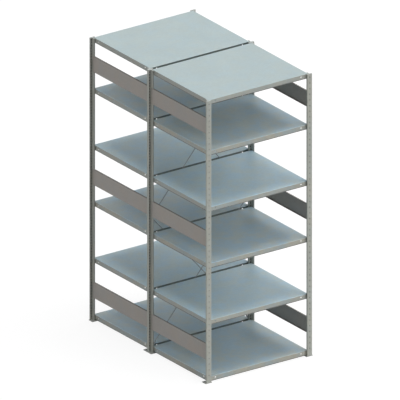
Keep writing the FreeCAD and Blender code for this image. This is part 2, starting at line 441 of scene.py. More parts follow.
        self.pick(Element.EDGE, wanted)

    def extrude(self, move: Vector) -> None:
        """Extrude what is selected, and leave its new end selected."""
        bpy.ops.mesh.extrude_region_move(TRANSFORM_OT_translate={"value": tuple(move)})

    def round_off(self, radius: float, segments: int, zone: Zone = Zone.FOLD) -> None:
        """Round the selected edges.

        Args:
            radius: Radius of the rounding at a square corner.
            segments: How many flats stand for the round.
            zone: The zone that the new faces belong to.
        """
        bpy.ops.mesh.bevel(offset=radius, offset_type="OFFSET", segments=segments, profile=0.5,
                           affect="EDGES", clamp_overlap=False, material=zone.value)

    def bisect(self, axis: Axis, places: Sequence[float]) -> None:
        """Divide the whole mesh by planes square to an axis.

        Args:
            axis: The axis.
            places: Where the planes cross it.
        """
        normal = [0.0, 0.0, 0.0]
        normal[axis.value] = 1.0
        for place in places:
            bpy.ops.mesh.select_all(action="SELECT")
            bpy.ops.mesh.bisect(plane_co=tuple(place * n for n in normal), plane_no=normal)

    def open_end(self, height: float) -> None:
        """Take away the level faces at a height, where another length is joined on."""
        self.pick(Element.FACE, lambda face: flush(face, Axis.Z, height))
        bpy.ops.mesh.delete(type="FACE")

    # -- object-mode steps --
    def dress(self, materials: Sequence[bpy.types.Material]) -> None:
        """Fill or refill the material slots, and keep the faces' zones.

        Args:
            materials: One material for each zone.
        """
        slots = self.item.data.materials
        for index, material in enumerate(materials):
            if index < len(slots):
                slots[index] = material
            else:
                slots.append(material)

    def thicken(self, sheet: float, at: Vector, toward: Vector) -> None:
        """Give an open sheet its thickness.

        Args:
            sheet: The thickness.
            at: A point on the sheet.
            toward: The side of the sheet, at that point, on which the thickness goes.
        """
        face = min(self.item.data.polygons, key=lambda entry: (entry.center - at).length)
        solidify = self.item.modifiers.new("sheet", "SOLIDIFY")
        solidify.thickness = sheet
        solidify.offset = 1.0 if face.normal.dot(toward) > 0.0 else -1.0
        solidify.use_even_offset = True
        solidify.material_offset_rim = Zone.CUT.value
        self.apply(solidify)
        with self.edit():
            bpy.ops.mesh.select_all(action="SELECT")
            bpy.ops.mesh.normals_make_consistent(inside=False)

    def combine(self, others: Sequence["Workpiece"], operation: Operation) -> None:
        """Cut other pieces out of this one, or weld them to it, and use them up.

        Args:
            others: Closed pieces that don't touch each other.
            operation: Which of the two is done.
        """
        tool = others[0]
        tool.join(others[1:])
        boolean = self.item.modifiers.new("tool", "BOOLEAN")
        boolean.operation = operation.value
        boolean.solver = "EXACT"
        boolean.object = tool.item
        self.apply(boolean)
        tool.discard()

    def cut(self, low: Vector, high: Vector) -> "Workpiece":
        """A square cutter for this piece.

        Args:
            low: Its lowest corner on every axis.
            high: Its highest corner on every axis.

        Returns:
            The cutter, whose walls belong to the cut zone.
        """
        cutter = Workpiece.block("cutter", low, high)
        cutter.dress(list(self.item.data.materials))
        cutter.paint(Zone.CUT)
        return cutter

    def paint(self, zone: Zone, test: Callable[..., bool] = lambda face: True) -> None:
        """Give a zone to flats that have none yet.

        Args:
            zone: The zone.
            test: Gets a flat and says whether it gets the zone.
        """
        for face in self.item.data.polygons:
            if face.material_index == Zone.SHEET.value and test(face):
                face.material_index = zone.value

    def join(self, others: Sequence["Workpiece"]) -> None:
        """Make other pieces part of this one, each a shell of its own.

        Args:
            others: Those pieces, of which there may be none.
        """
        if not others:
            return
        self.activate()
        for other in others:
            other.item.select_set(True)
        bpy.ops.object.join()

    def merge_seams(self) -> None:
        """Merge the vertices that lengths of this piece share."""
        with self.edit():
            bpy.ops.mesh.select_all(action="SELECT")
            bpy.ops.mesh.remove_doubles(threshold=SLACK)

    def repeat(self, count: int, step: Vector) -> None:
        """Repeat the mesh, each copy merged with the last.

        Args:
            count: How many lengths there are in the end.
            step: The way from one to the next.
        """
        array = self.item.modifiers.new("row", "ARRAY")
        array.count = count
        array.use_relative_offset = False
        array.use_constant_offset = True
        array.constant_offset_displace = step
        array.use_merge_vertices = True
        array.merge_threshold = SLACK
        self.apply(array)

    def discard(self) -> None:
        """Take the piece off the bench."""
        bpy.data.objects.remove(self.item)

    def send(self, name: str, placings: Sequence[Matrix], slot: str, node: str) -> None:
        """Copy this piece to some places, and hand the copies over as one piece.

        Args:
            name: The new piece's name.
            placings: Where the copies go, each of which may mirror them.
            slot: The record's material slot.
            node: The CAD node that the new piece stands for.
        """
        copies = [self.mirrored_copy(name, placed) for placed in placings]
        copies[0].join(copies[1:])
        copies[0].hand_over(slot, node)

    def hand_over(self, slot: str, *nodes: str) -> None:
        """Smooth the piece, and let it ride in place of its CAD nodes.

        Args:
            slot: The record's material slot; not used.
            nodes: The CAD nodes that it stands for.
        """
        self.activate()
        bpy.ops.object.shade_smooth_by_angle(angle=SMOOTH_ANGLE)
        weighted = self.item.modifiers.new("flats", "WEIGHTED_NORMAL")
        weighted.keep_sharp = True
        self.apply(weighted)
        bpy.ops.object.material_slot_remove_unused()
        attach(self.item, "root")
        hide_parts(*nodes)
        self.report(nodes)

    def report(self, nodes: Sequence[str]) -> None:
        """Log the piece's size in faces, and how far its box is from its CAD nodes' box.

        Args:
            nodes: Those CAD nodes.
        """
        boxes = [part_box(node) for node in nodes]
        off = 0.0
        for axis in range(3):
            spots = [vertex.co[axis] for vertex in self.item.data.vertices]
            low = min(box[0][axis] for box in boxes)
            high = max(box[1][axis] for box in boxes)
            off = max(off, abs(min(spots) - low), abs(max(spots) - high))
        mesh = bmesh.new()
        mesh.from_mesh(self.item.data)
        loose = sum(1 for edge in mesh.edges if not edge.is_manifold)
        volume = mesh.calc_volume(signed=True)
        mesh.free()
        LOG.info("%-36s %6d faces, %5.2f mm off its CAD box, %d open edges, %.1f cm3",
                 self.item.name, len(self.item.data.polygons), off / MM, loose, volume * 1e6)


# ---- shader wiring ---------------------------------------------------------------------------
Number = Union[float, "Wire"]


class Wire:
    """A value that a node gives, with Python's operators as Math nodes.

    Args:
        tree: The wiring that it belongs to.
        socket: The node's output.
    """

    def __init__(self, tree: "Wiring", socket: bpy.types.NodeSocket) -> None:
        self.tree = tree
        self.socket = socket

    def __add__(self, other: Number) -> "Wire":
        """The sum."""
        return self.tree.math("ADD", self, other)

    def __radd__(self, other: Number) -> "Wire":
        """The sum, from the right."""
        return self.tree.math("ADD", other, self)

    def __sub__(self, other: Number) -> "Wire":
        """The difference."""
        return self.tree.math("SUBTRACT", self, other)

    def __rsub__(self, other: Number) -> "Wire":
        """The difference, from the right."""
        return self.tree.math("SUBTRACT", other, self)

    def __mul__(self, other: Number) -> "Wire":
        """The product."""
        return self.tree.math("MULTIPLY", self, other)

    def __rmul__(self, other: Number) -> "Wire":
        """The product, from the right."""
        return self.tree.math("MULTIPLY", other, self)


class Wiring:
    """The node tree of one material or world.

    Args:
        owner: The material or world, which gets an empty tree.
    """

    def __init__(self, owner: Union[bpy.types.Material, bpy.types.World]) -> None:
        owner.use_nodes = True
        self.tree = owner.node_tree
        self.tree.nodes.clear()

    def node(self, kind: str, settings: dict, sockets: dict) -> bpy.types.Node:
        """A node of any type.

        Args:
            kind: Its type.
            settings: Its properties, set first; the stops of a ramp under "stops".
            sockets: Its inputs by name or number, each a wire, an output or a plain value.

        Returns:
            The node.
        """
        made = self.tree.nodes.new(kind)
        for name, value in settings.items():
            if name == "stops":
                self.set_stops(made.color_ramp, value)
            else:
                setattr(made, name, value)
        for name, value in sockets.items():
            if isinstance(value, Wire):
                self.tree.links.new(value.socket, made.inputs[name])
            elif isinstance(value, bpy.types.NodeSocket):
                self.tree.links.new(value, made.inputs[name])
            else:
                made.inputs[name].default_value = value
        return made

    @staticmethod
    def set_stops(ramp: bpy.types.ColorRamp, stops: Sequence[tuple[float, float]]) -> None:
        """Set a ramp's stops.

        Args:
            ramp: The ramp, which has no more stops than it gets.
            stops: The place and the grey of each stop.
        """
        while len(ramp.elements) < len(stops):
            ramp.elements.new(1.0)
        for element, (place, grey) in zip(ramp.elements, stops):
            element.position = place
            element.color = (grey, grey, grey, 1.0)

    def wire(self, kind: str, settings: dict, sockets: dict, output: Union[int, str] = 0) -> Wire:
        """One output of a new node, as a wire."""
        return Wire(self, self.node(kind, settings, sockets).outputs[output])

    def math(self, operation: str, first: Number, second: Number = 0.0) -> Wire:
        """A Math node."""
        return self.wire("ShaderNodeMath", {"operation": operation}, {0: first, 1: second})

    def ramp(self, value: Wire, start: float, end: float) -> Wire:
        """A value led through a grey ramp, which is 0 at its start and 1 at its end."""
        stops = [(start, 0.0), (end, 1.0)]
        return self.wire("ShaderNodeValToRGB", {"stops": stops}, {"Fac": value})

    def mix(self, share: Number, first: object, second: object) -> Wire:
        """A mix of two colours, each a wire or a plain colour."""
        sockets = {"Factor": share, 6: first, 7: second}
        return self.wire("ShaderNodeMix", {"data_type": "RGBA"}, sockets, 2)

    def stretched(self, scale: Sequence[float]) -> Wire:
        """Object coordinates, scaled along each axis."""
        place = self.wire("ShaderNodeTexCoord", {}, {}, "Object")
        return self.wire("ShaderNodeMapping", {}, {"Vector": place, "Scale": tuple(scale)})

    def noise(self, scale: Sequence[float], detail: float, roughness: float = 0.5) -> Wire:
        """Noise on object coordinates, from 0 to 1.

        Args:
            scale: Waves per metre along each axis.
            detail: How many finer layers lie on the coarse one.
            roughness: How strong the finer layers are.

        Returns:
            The noise's value.
        """
        sockets = {"Vector": self.stretched(scale), "Scale": 1.0, "Detail": detail,
                   "Roughness": roughness}
        return self.wire("ShaderNodeTexNoise", {}, sockets, "Fac")


# ---- finishes --------------------------------------------------------------------------------
Colour = tuple[float, float, float, float]


def srgb(red: int, green: int, blue: int) -> Colour:
    """A colour as shaders use it, from the way it shows.

    Args:
        red: Its red as it shows, from 0 to 255.
        green: Its green.
        blue: Its blue.

    Returns:
        The linear colour, by the usual curve of screens.
    """
    shares = [value / 255.0 for value in (red, green, blue)]
    linear = [s / 12.92 if s <= 0.04045 else ((s + 0.055) / 1.055) ** 2.4 for s in shares]
    return (*linear, 1.0)


def grey(value: float) -> Colour:
    """A neutral colour."""
    return (value, value, value, 1.0)


@dataclass(frozen=True)
class ZincFinish:
    """Hot-dip zinc on rolled steel.

    Args:
        label: The name of its materials.
        slot: The record's material slot.
        rolled: The axis along which the sheet was rolled, with faint streaks.
        zinc: The colour of its flats.
        wall: The colour of upright walls or a plug, where it is another one: painted light, warmer
            and darker on a shelf's walls than on its top, and paler and bluer on a post's plug, as
            a top lit from above.
        dull: The colour of painted shade on flats in recesses and gaps or on a brace's lips, where
            there are any.
        bloom: How far its clouds turn from a warm grey to a blue one.
        fold_painted_light: How bright a fold is painted beside the flat: above 1 a painted
            highlight, below 1 painted shade.
        metallic: How metallic it looks, from 0 to 1.
        roughness: Its lowest and highest roughness.
        spangle: Width of a zinc crystal.
    """

    label: str
    slot: str
    rolled: Axis
    zinc: Colour
    wall: Optional[Colour] = None
    dull: Optional[Colour] = None
    bloom: float = 0.02
    fold_painted_light: float = 1.06
    metallic: float = 0.15
    roughness: tuple[float, float] = (0.42, 0.56)
    spangle: float = 14.0 * MM

    CONTRAST = 0.08                # how much brighter and darker than its colour the zinc gets
    CLOUD_SCALE = 5.0              # clouds per metre
    CLOUD_DETAIL = 4.0
    CLOUD_ROUGHNESS = 0.6
    CLOUD_SPAN = (0.3, 0.7)        # the noise between which a cloud goes from dark to bright
    CLOUD_SHARE = 0.35             # its share of the brightness, like the other shares
    PATCH_SCALE = 9.0              # patches of blue or warm tint per metre
    PATCH_DETAIL = 3.0
    PATCH_ROUGHNESS = 0.55
    PATCH_SPAN = (0.38, 0.62)
    STREAK_SCALE = 90.0            # streaks per metre, across the rolling direction
    STREAK_LENGTH = 1.2            # per metre, along it
    STREAK_DETAIL = 2.0
    STREAK_SHARE = 0.2
    CRYSTAL_SHARE = 0.4
    CRYSTAL_SHEEN = 0.5            # how much of the roughness follows crystals, not clouds
    GRAIN_SCALE = 900.0
    GRAIN_DETAIL = 1.0
    GRAIN_SHARE = 0.05
    GRAIN_RELIEF = 0.7             # how much of the relief is grain, not crystals
    BUMP_STRENGTH = 0.35
    BUMP_HEIGHT = 0.15 * MM
    CUT_SHADE = 0.9                # how bright a sheared edge is beside the flat
    INSIDE_SHADE = 0.15            # how bright the inside of a hollow section is painted, as painted shade
    HEM_SHADE = 0.4                # how bright a wall is painted where it turns under, as painted shade

    def materials(self) -> list[bpy.types.Material]:
        """The finish's materials, one for each zone of a sheet."""
        return [self.material(zone) for zone in Zone]

    def material(self, zone: Zone) -> bpy.types.Material:
        """The material of one zone.

        Args:
            zone: The part of the sheet that it is for.

        Returns:
            The material, made the first time and shared after that.
        """
        name = f"{self.label}_{zone.name.lower()}"
        if name in bpy.data.materials:
            return bpy.data.materials[name]
        made = bpy.data.materials.new(name)
        wiring = Wiring(made)
        cloud = wiring.noise([self.CLOUD_SCALE] * 3, self.CLOUD_DETAIL, self.CLOUD_ROUGHNESS)
        patch = wiring.noise([self.PATCH_SCALE] * 3, self.PATCH_DETAIL, self.PATCH_ROUGHNESS)
        streak_scale = [self.STREAK_SCALE] * 3
        streak_scale[self.rolled.value] = self.STREAK_LENGTH
        streak = wiring.noise(streak_scale, self.STREAK_DETAIL)
        grain = wiring.noise([self.GRAIN_SCALE] * 3, self.GRAIN_DETAIL)
        crystal = self.crystals(wiring)
        tone = (self.CLOUD_SHARE * wiring.ramp(cloud, *self.CLOUD_SPAN)
                + self.STREAK_SHARE * streak + self.CRYSTAL_SHARE * crystal
                + self.GRAIN_SHARE * grain)
        base, shade = self.base(zone)
        tinted = [wiring.mix(tone, self.shaded(base, shade * (1.0 - self.CONTRAST), blue),
                             self.shaded(base, shade * (1.0 + self.CONTRAST), blue))
                  for blue in (-self.bloom, self.bloom)]
        colour = wiring.mix(wiring.ramp(patch, *self.PATCH_SPAN), *tinted)
        low, high = self.roughness
        roughness = low + (high - low) * ((1.0 - self.CRYSTAL_SHEEN) * cloud
                                          + self.CRYSTAL_SHEEN * crystal)
        relief = self.GRAIN_RELIEF * grain + (1.0 - self.GRAIN_RELIEF) * crystal
        bump = wiring.wire("ShaderNodeBump", {},
                           {"Strength": self.BUMP_STRENGTH, "Distance": self.BUMP_HEIGHT,
                            "Height": relief}, "Normal")
        surface = wiring.wire("ShaderNodeBsdfPrincipled", {},
                              {"Base Color": colour, "Metallic": self.metallic,
                               "Roughness": roughness, "Normal": bump})
        wiring.node("ShaderNodeOutputMaterial", {}, {"Surface": surface})
        return made

    def base(self, zone: Zone) -> tuple[Colour, float]:
        """What a zone's colour comes from.

        Args:
            zone: The part of the sheet.

        Returns:
            One of the finish's colours, and how bright the zone is beside it.
        """
        wall = self.wall or self.zinc
        return {Zone.SHEET: (self.zinc, 1.0), Zone.FOLD: (self.zinc, self.fold_painted_light),
                Zone.CUT: (self.zinc, self.CUT_SHADE), Zone.WALL: (wall, 1.0),
                Zone.DULL: (self.dull or self.zinc, 1.0),
                Zone.INSIDE: (self.zinc, self.INSIDE_SHADE),
                Zone.HEM: (wall, self.HEM_SHADE)}[zone]

    def crystals(self, wiring: Wiring) -> Wire:
        """The zinc's crystals.

        Args:
            wiring: The wiring that they are for.

        Returns:
            The brightness of each crystal, from 0 to 1.
        """
        place = wiring.stretched([1.0 / self.spangle] * 3)
        cell = wiring.wire("ShaderNodeTexVoronoi", {"feature": "F1"},
                           {"Vector": place, "Scale": 1.0, "Randomness": 1.0}, "Color")
        return wiring.wire("ShaderNodeSeparateColor", {}, {"Color": cell}, "Red")

    @staticmethod
    def shaded(colour: Colour, shade: float, blue: float) -> Colour:
        """A colour made darker or brighter, and bluer or warmer."""
        return (colour[0] * shade * (1.0 - blue), colour[1] * shade,
                colour[2] * shade * (1.0 + blue), 1.0)


# A shelf's paler, bluer top and its warmer, darker walls are painted light from above; its darker
# rear wall is painted shade in the gap between the runs.
SHELF_ZINC = ZincFinish("shelf_zinc", "shelf_steel", Axis.X, srgb(176, 192, 194),
                        wall=srgb(176, 180, 174), dull=srgb(114, 124, 122))
# Painted light for the lower shelves: paler and bluer than the top, most on levels 2 and 4, lit
# through their open ends, less on 1, 3 and 5, shaded by the braces.
PAINTED_DIM_LEVEL_ZINC = replace(SHELF_ZINC, label="painted_dim_level_zinc", zinc=srgb(179, 196, 202), bloom=0.07)
PAINTED_LIT_LEVEL_ZINC = replace(SHELF_ZINC, label="painted_lit_level_zinc", zinc=srgb(184, 205, 213), bloom=0.05)
# A post's plug is painted paler and bluer as light on its top, and its slotted face darker as
# painted shade beside the web.
POST_ZINC = ZincFinish("post_zinc", "post_steel", Axis.Z, srgb(183, 186, 178),
                       wall=srgb(198, 205, 203), dull=srgb(158, 160, 154))
# A brace's lips and folds are darker, as painted shade.
BRACE_ZINC = ZincFinish("brace_zinc", "brace_steel", Axis.Y, srgb(174, 169, 163),
                        dull=srgb(108, 105, 101), fold_painted_light=0.6)
FOOT_ZINC = ZincFinish("foot_zinc", "foot_steel", Axis.X, srgb(170, 172, 168))
ROD_ZINC = ZincFinish("rod_zinc", "rod_steel", Axis.Z, srgb(140, 145, 147), metallic=0.5)
FITTING_ZINC = ZincFinish("fitting_zinc", "zinc_fittings", Axis.X, srgb(190, 193, 191),
                          metallic=0.5, roughness=(0.28, 0.42))


# ---- posts -----------------------------------------------------------------------------------
@dataclass
class SlottedPosts:
    """The eight T posts, each one strip folded to a hollow flange and a web of two leaves."""

    finish: ZincFinish = POST_ZINC
    sheet: float = 1.5 * MM
    bend: float = 2.5 * MM             # outside radius of every fold
    flange_depth: float = 12.0 * MM
    web_width: float = 10.0 * MM
    seam: float = 3.0 * MM
    slot_width: float = 9.0 * MM
    slot_height: float = 14.0 * MM
    slot_corner: float = 0.5 * MM      # leaves the lower edge as wide as a hook
    slot_offset: float = 14.5 * MM     # from the web's middle
    slot_pitch: float = 25.0 * MM
    first_slot: float = 31.0 * MM
    hole_width: float = 7.0 * MM
    hole_height: float = 12.0 * MM
    hole_corner: float = 2.5 * MM
    length_start: float = 45.0 * MM    # where the first repeated length starts
    length: float = 50.0 * MM          # two pairs of slots and one face hole
    hole_in_length: float = 25.0 * MM  # from a length's start to its face hole
    tongue_slot_width: float = 2.4 * MM
    tongue_slot_setback: float = 7.55 * MM     # from the flange's inner face
    tongue_slot_low: float = 30.0 * MM         # above a brace's lower edge
    tongue_slot_high: float = 24.0 * MM        # below a brace's upper edge
    plug_play: float = 0.2 * MM                # between the top's plug and the sheet
    plug_depth: float = 8.0 * MM
    bend_flats: int = 3
    corner_flats: int = 2              # for the small corners of openings and the plug

    def __post_init__(self) -> None:
        """Read the front left outer post's place from the frame."""
        self.low, self.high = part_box("post_front_outer_left")
        self.web = (self.low.x + self.high.x) / 2.0
        self.inner_face = self.low.y + self.flange_depth

    def section(self) -> list[Vector]:
        """The outer line of the folded strip.

        Returns:
            Its corners at height 0, from one edge of the seam round to the other.
        """
        half = [(self.seam / 2.0, self.high.y), (self.web_width / 2.0, self.high.y),
                (self.web_width / 2.0, self.inner_face), (self.high.x - self.web, self.inner_face),
                (self.high.x - self.web, self.low.y)]
        right = [point(self.web + x, y, 0.0) for x, y in half]
        left = [point(self.web - x, y, 0.0) for x, y in reversed(half)]
        return right + left

    def folded(self, low: float, high: float) -> Workpiece:
        """A plain length of post, closed at both ends.

        Args:
            low: The height of its lower end.
            high: The height of its upper end.

        Returns:
            The length, with its zones painted.
        """
        line = [corner + point(0.0, 0.0, low) for corner in self.section()]
        width = point(0.0, 0.0, high - low)
        piece = Workpiece.strip("length", line, width)
        piece.dress(self.finish.materials())
        last = len(line) - 1
        inward = (2, last - 2)
        outward = [index for index in range(1, last) if index not in inward]
        with piece.edit():
            piece.pick_edges([line[index] + width / 2.0 for index in outward])
            piece.round_off(self.bend, self.bend_flats)
            piece.pick_edges([line[index] + width / 2.0 for index in inward])
            piece.round_off(self.bend - self.sheet, self.bend_flats)
        at = (line[4] + line[5] + width) / 2.0
        piece.thicken(self.sheet, at, point(0.0, 1.0, 0.0))
        # Painted shade: the slotted face of the flange, in the recess beside the web, is darker.
        piece.paint(Zone.DULL, lambda face: near(face.center.y, self.inner_face))
        # Painted shade: the inside of the hollow is dark, so that slots and holes show dark.
        piece.paint(Zone.INSIDE, self.inside)
        return piece

    def inside(self, face: bpy.types.MeshPolygon) -> bool:
        """Whether a flat is on the inner side of the hollow section.

        Args:
            face: The flat.

        Returns:
            True for one that faces the hollow.
        """
        across = abs(face.center.x - self.web)
        return (near(face.center.y, self.low.y + self.sheet)
                or near(face.center.y, self.inner_face - self.sheet)
                or near(across, self.high.x - self.web - self.sheet)
                or near(across, self.web_width / 2.0 - self.sheet))

    def slot_cutters(self, piece: Workpiece, height: float) -> list[Workpiece]:
        """Cutters for a pair of hook slots.

        Args:
            piece: The piece that they cut.
            height: The height of the slots' middles.

        Returns:
            The two cutters.
        """
        cutters = []
        for centre in (self.web - self.slot_offset, self.web + self.slot_offset):
            low = point(centre - self.slot_width / 2.0,
                        self.inner_face - self.sheet - CUTTER_MARGIN,
                        height - self.slot_height / 2.0)
            high = point(centre + self.slot_width / 2.0, self.inner_face + CUTTER_MARGIN,
                         height + self.slot_height / 2.0)
            cutters.append(self.rounded_cutter(piece, low, high, self.slot_corner))
        return cutters

    def hole_cutter(self, piece: Workpiece, height: float) -> Workpiece:
        """Cutter for a face hole.

        Args:
            piece: The piece that it cuts.
            height: The height of the hole's middle.

        Returns:
            The cutter.
        """
        low = point(self.web - self.hole_width / 2.0, self.low.y - CUTTER_MARGIN,
                    height - self.hole_height / 2.0)
        high = point(self.web + self.hole_width / 2.0, self.low.y + self.sheet + CUTTER_MARGIN,
                     height + self.hole_height / 2.0)
        return self.rounded_cutter(piece, low, high, self.hole_corner)

    def rounded_cutter(self, piece: Workpiece, low: Vector, high: Vector,
                       radius: float) -> Workpiece:
        """A cutter along Y with rounded corners.

        Args:
            piece: The piece that it cuts.
            low: Its lowest corner on every axis.
            high: Its highest corner on every axis.
            radius: The radius of its corners.

        Returns:
            The cutter.
        """
        cutter = piece.cut(low, high)
        with cutter.edit():
            cutter.pick(Element.EDGE, lambda edge: runs_along(edge, Axis.Y))
            cutter.round_off(radius, self.corner_flats, Zone.CUT)
        return cutter

    def tongue_cutter(self, piece: Workpiece, node: str) -> Workpiece:
        """Cutter in the web's outer leaf for a brace's tongue.

        Args:
            piece: The piece that it cuts.
            node: The CAD node of the brace.

        Returns:
            The cutter.
        """
        brace_low, brace_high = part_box(node)
        leaf = self.web - self.web_width / 2.0
        start = self.inner_face + self.tongue_slot_setback
        return piece.cut(point(leaf - CUTTER_MARGIN, start, brace_low.z + self.tongue_slot_low),
                         point(leaf + self.sheet + CUTTER_MARGIN,
                               start + self.tongue_slot_width,
                               brace_high.z - self.tongue_slot_high))

    def plug(self) -> Workpiece:
        """The plug, of the section's own shape, that closes the post's top, painted paler and
        bluer as light on its top.
        """
        wall = self.sheet + self.plug_play
        half = self.high.x - self.web - wall
        neck = self.web_width / 2.0 - wall
        back = self.inner_face - wall
        top = self.high.z - self.plug_play
        plug = Workpiece.block("plug", point(self.web - half, self.low.y + wall,
                                             top - self.plug_depth),
                               point(self.web + half, back, top))
        plug.dress(self.finish.materials())
        with plug.edit():
            plug.pick(Element.EDGE, lambda edge: runs_along(edge, Axis.Z))
            plug.round_off(self.bend - self.sheet, self.corner_flats, Zone.SHEET)
            plug.bisect(Axis.X, [self.web - neck, self.web + neck])
            plug.pick(Element.FACE, lambda face: flush(face, Axis.Y, back) and all(
                abs(vertex.co.x - self.web) < neck + SLACK for vertex in face.verts))
            plug.extrude(point(0.0, self.high.y - wall - back, 0.0))
        # Painted light: the plug gets the paler, bluer wall colour of a top lit from above.
        plug.paint(Zone.WALL)
        return plug

    def whole_post(self) -> Workpiece:
        """The front left outer post: a foot length, the repeated lengths and a plain top."""
        count = int((self.high.z - self.length_start) / self.length)
        repeats_end = self.length_start + count * self.length
        post = self.folded(self.low.z, self.length_start)
        post.combine(self.slot_cutters(post, self.first_slot), Operation.CUT)
        middle = self.folded(self.length_start, self.length_start + self.length)
        cutters = [self.hole_cutter(middle, self.length_start + self.hole_in_length)]
        for number in (1, 2):
            cutters += self.slot_cutters(middle, self.first_slot + number * self.slot_pitch)
        middle.combine(cutters, Operation.CUT)
        top = self.folded(repeats_end, self.high.z)
        with middle.edit():
            middle.open_end(self.length_start)
            middle.open_end(self.length_start + self.length)
        middle.repeat(count, point(0.0, 0.0, self.length))
        with post.edit():
            post.open_end(self.length_start)
        with top.edit():
            top.open_end(repeats_end)
        post.join([middle, top])
        post.merge_seams()
        post.combine([self.tongue_cutter(post, brace_node(Run.FRONT, Side.LEFT, level))
                      for level in Level], Operation.CUT)
        post.join([self.plug()])
        return post

    def build(self) -> None:
        """Make one post, and copy it to the eight places."""
        post = self.whole_post()
        for place in post_places():
            label = place.post_label()
            post.send(f"slotted_post_{label}", [place.matrix()], self.finish.slot, f"post_{label}")
        post.discard()


# ---- feet ------------------------------------------------------------------------------------
@dataclass
class FootPlates:
    """The eight foot plates, each with an anchor hole and a plug tongue welded on."""

    finish: ZincFinish = FOOT_ZINC
    plate: float = 4.0 * MM
    corner: float = 4.0 * MM
    plug_width: float = 42.8 * MM          # clear of the bends inside the post's flange
    plug_thickness: float = 3.0 * MM
    plug_setback: float = 1.5 * MM         # from the plate's front edge
    plug_corner: float = 6.0 * MM
    anchor_radius: float = 5.25 * MM
    anchor_from_centre: float = 19.0 * MM
    anchor_from_front: float = 34.0 * MM
    edge_break: float = 0.4 * MM
    rounds: int = 4
    hole_sides: int = 32

    def foot(self) -> Workpiece:
        """The front left outer foot."""
        low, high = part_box("foot_front_outer_left")
        centre = (low.x + high.x) / 2.0
        foot = Workpiece.block("foot", low, point(high.x, high.y, low.z + self.plate))
        foot.dress(self.finish.materials())
        with foot.edit():
            foot.pick(Element.EDGE, lambda edge: runs_along(edge, Axis.Z))
            foot.round_off(self.corner, self.rounds, Zone.CUT)
            top = low.z + self.plate
            foot.pick(Element.EDGE, lambda edge: flush(edge, Axis.Z, top))
            foot.round_off(self.edge_break, 1, Zone.CUT)
        half = self.plug_width / 2.0
        plug_front = low.y + self.plug_setback
        plug = Workpiece.block("plug", point(centre - half, plug_front, low.z + self.plate / 2.0),
                               point(centre + half, plug_front + self.plug_thickness, high.z))
        plug.dress(self.finish.materials())
        with plug.edit():
            plug.pick(Element.EDGE, lambda edge: flush(edge, Axis.Z, high.z)
                      and runs_along(edge, Axis.Y))
            plug.round_off(self.plug_corner, self.rounds, Zone.CUT)
        foot.combine([plug], Operation.WELD)
        hole_x = centre - self.anchor_from_centre
        hole_y = low.y + self.anchor_from_front
        drill = Workpiece.bar("drill", self.anchor_radius,
                              point(hole_x, hole_y, low.z - CUTTER_MARGIN),
                              point(hole_x, hole_y, top + CUTTER_MARGIN), self.hole_sides)
        drill.dress(self.finish.materials())
        drill.paint(Zone.CUT)
        foot.combine([drill], Operation.CUT)
        return foot

    def build(self) -> None:
        """Make one foot, and copy it to the eight places."""
        foot = self.foot()
        for place in post_places():
            label = place.post_label()
            foot.send(f"foot_plate_{label}", [place.matrix()], self.finish.slot, f"foot_{label}")
        foot.discard()


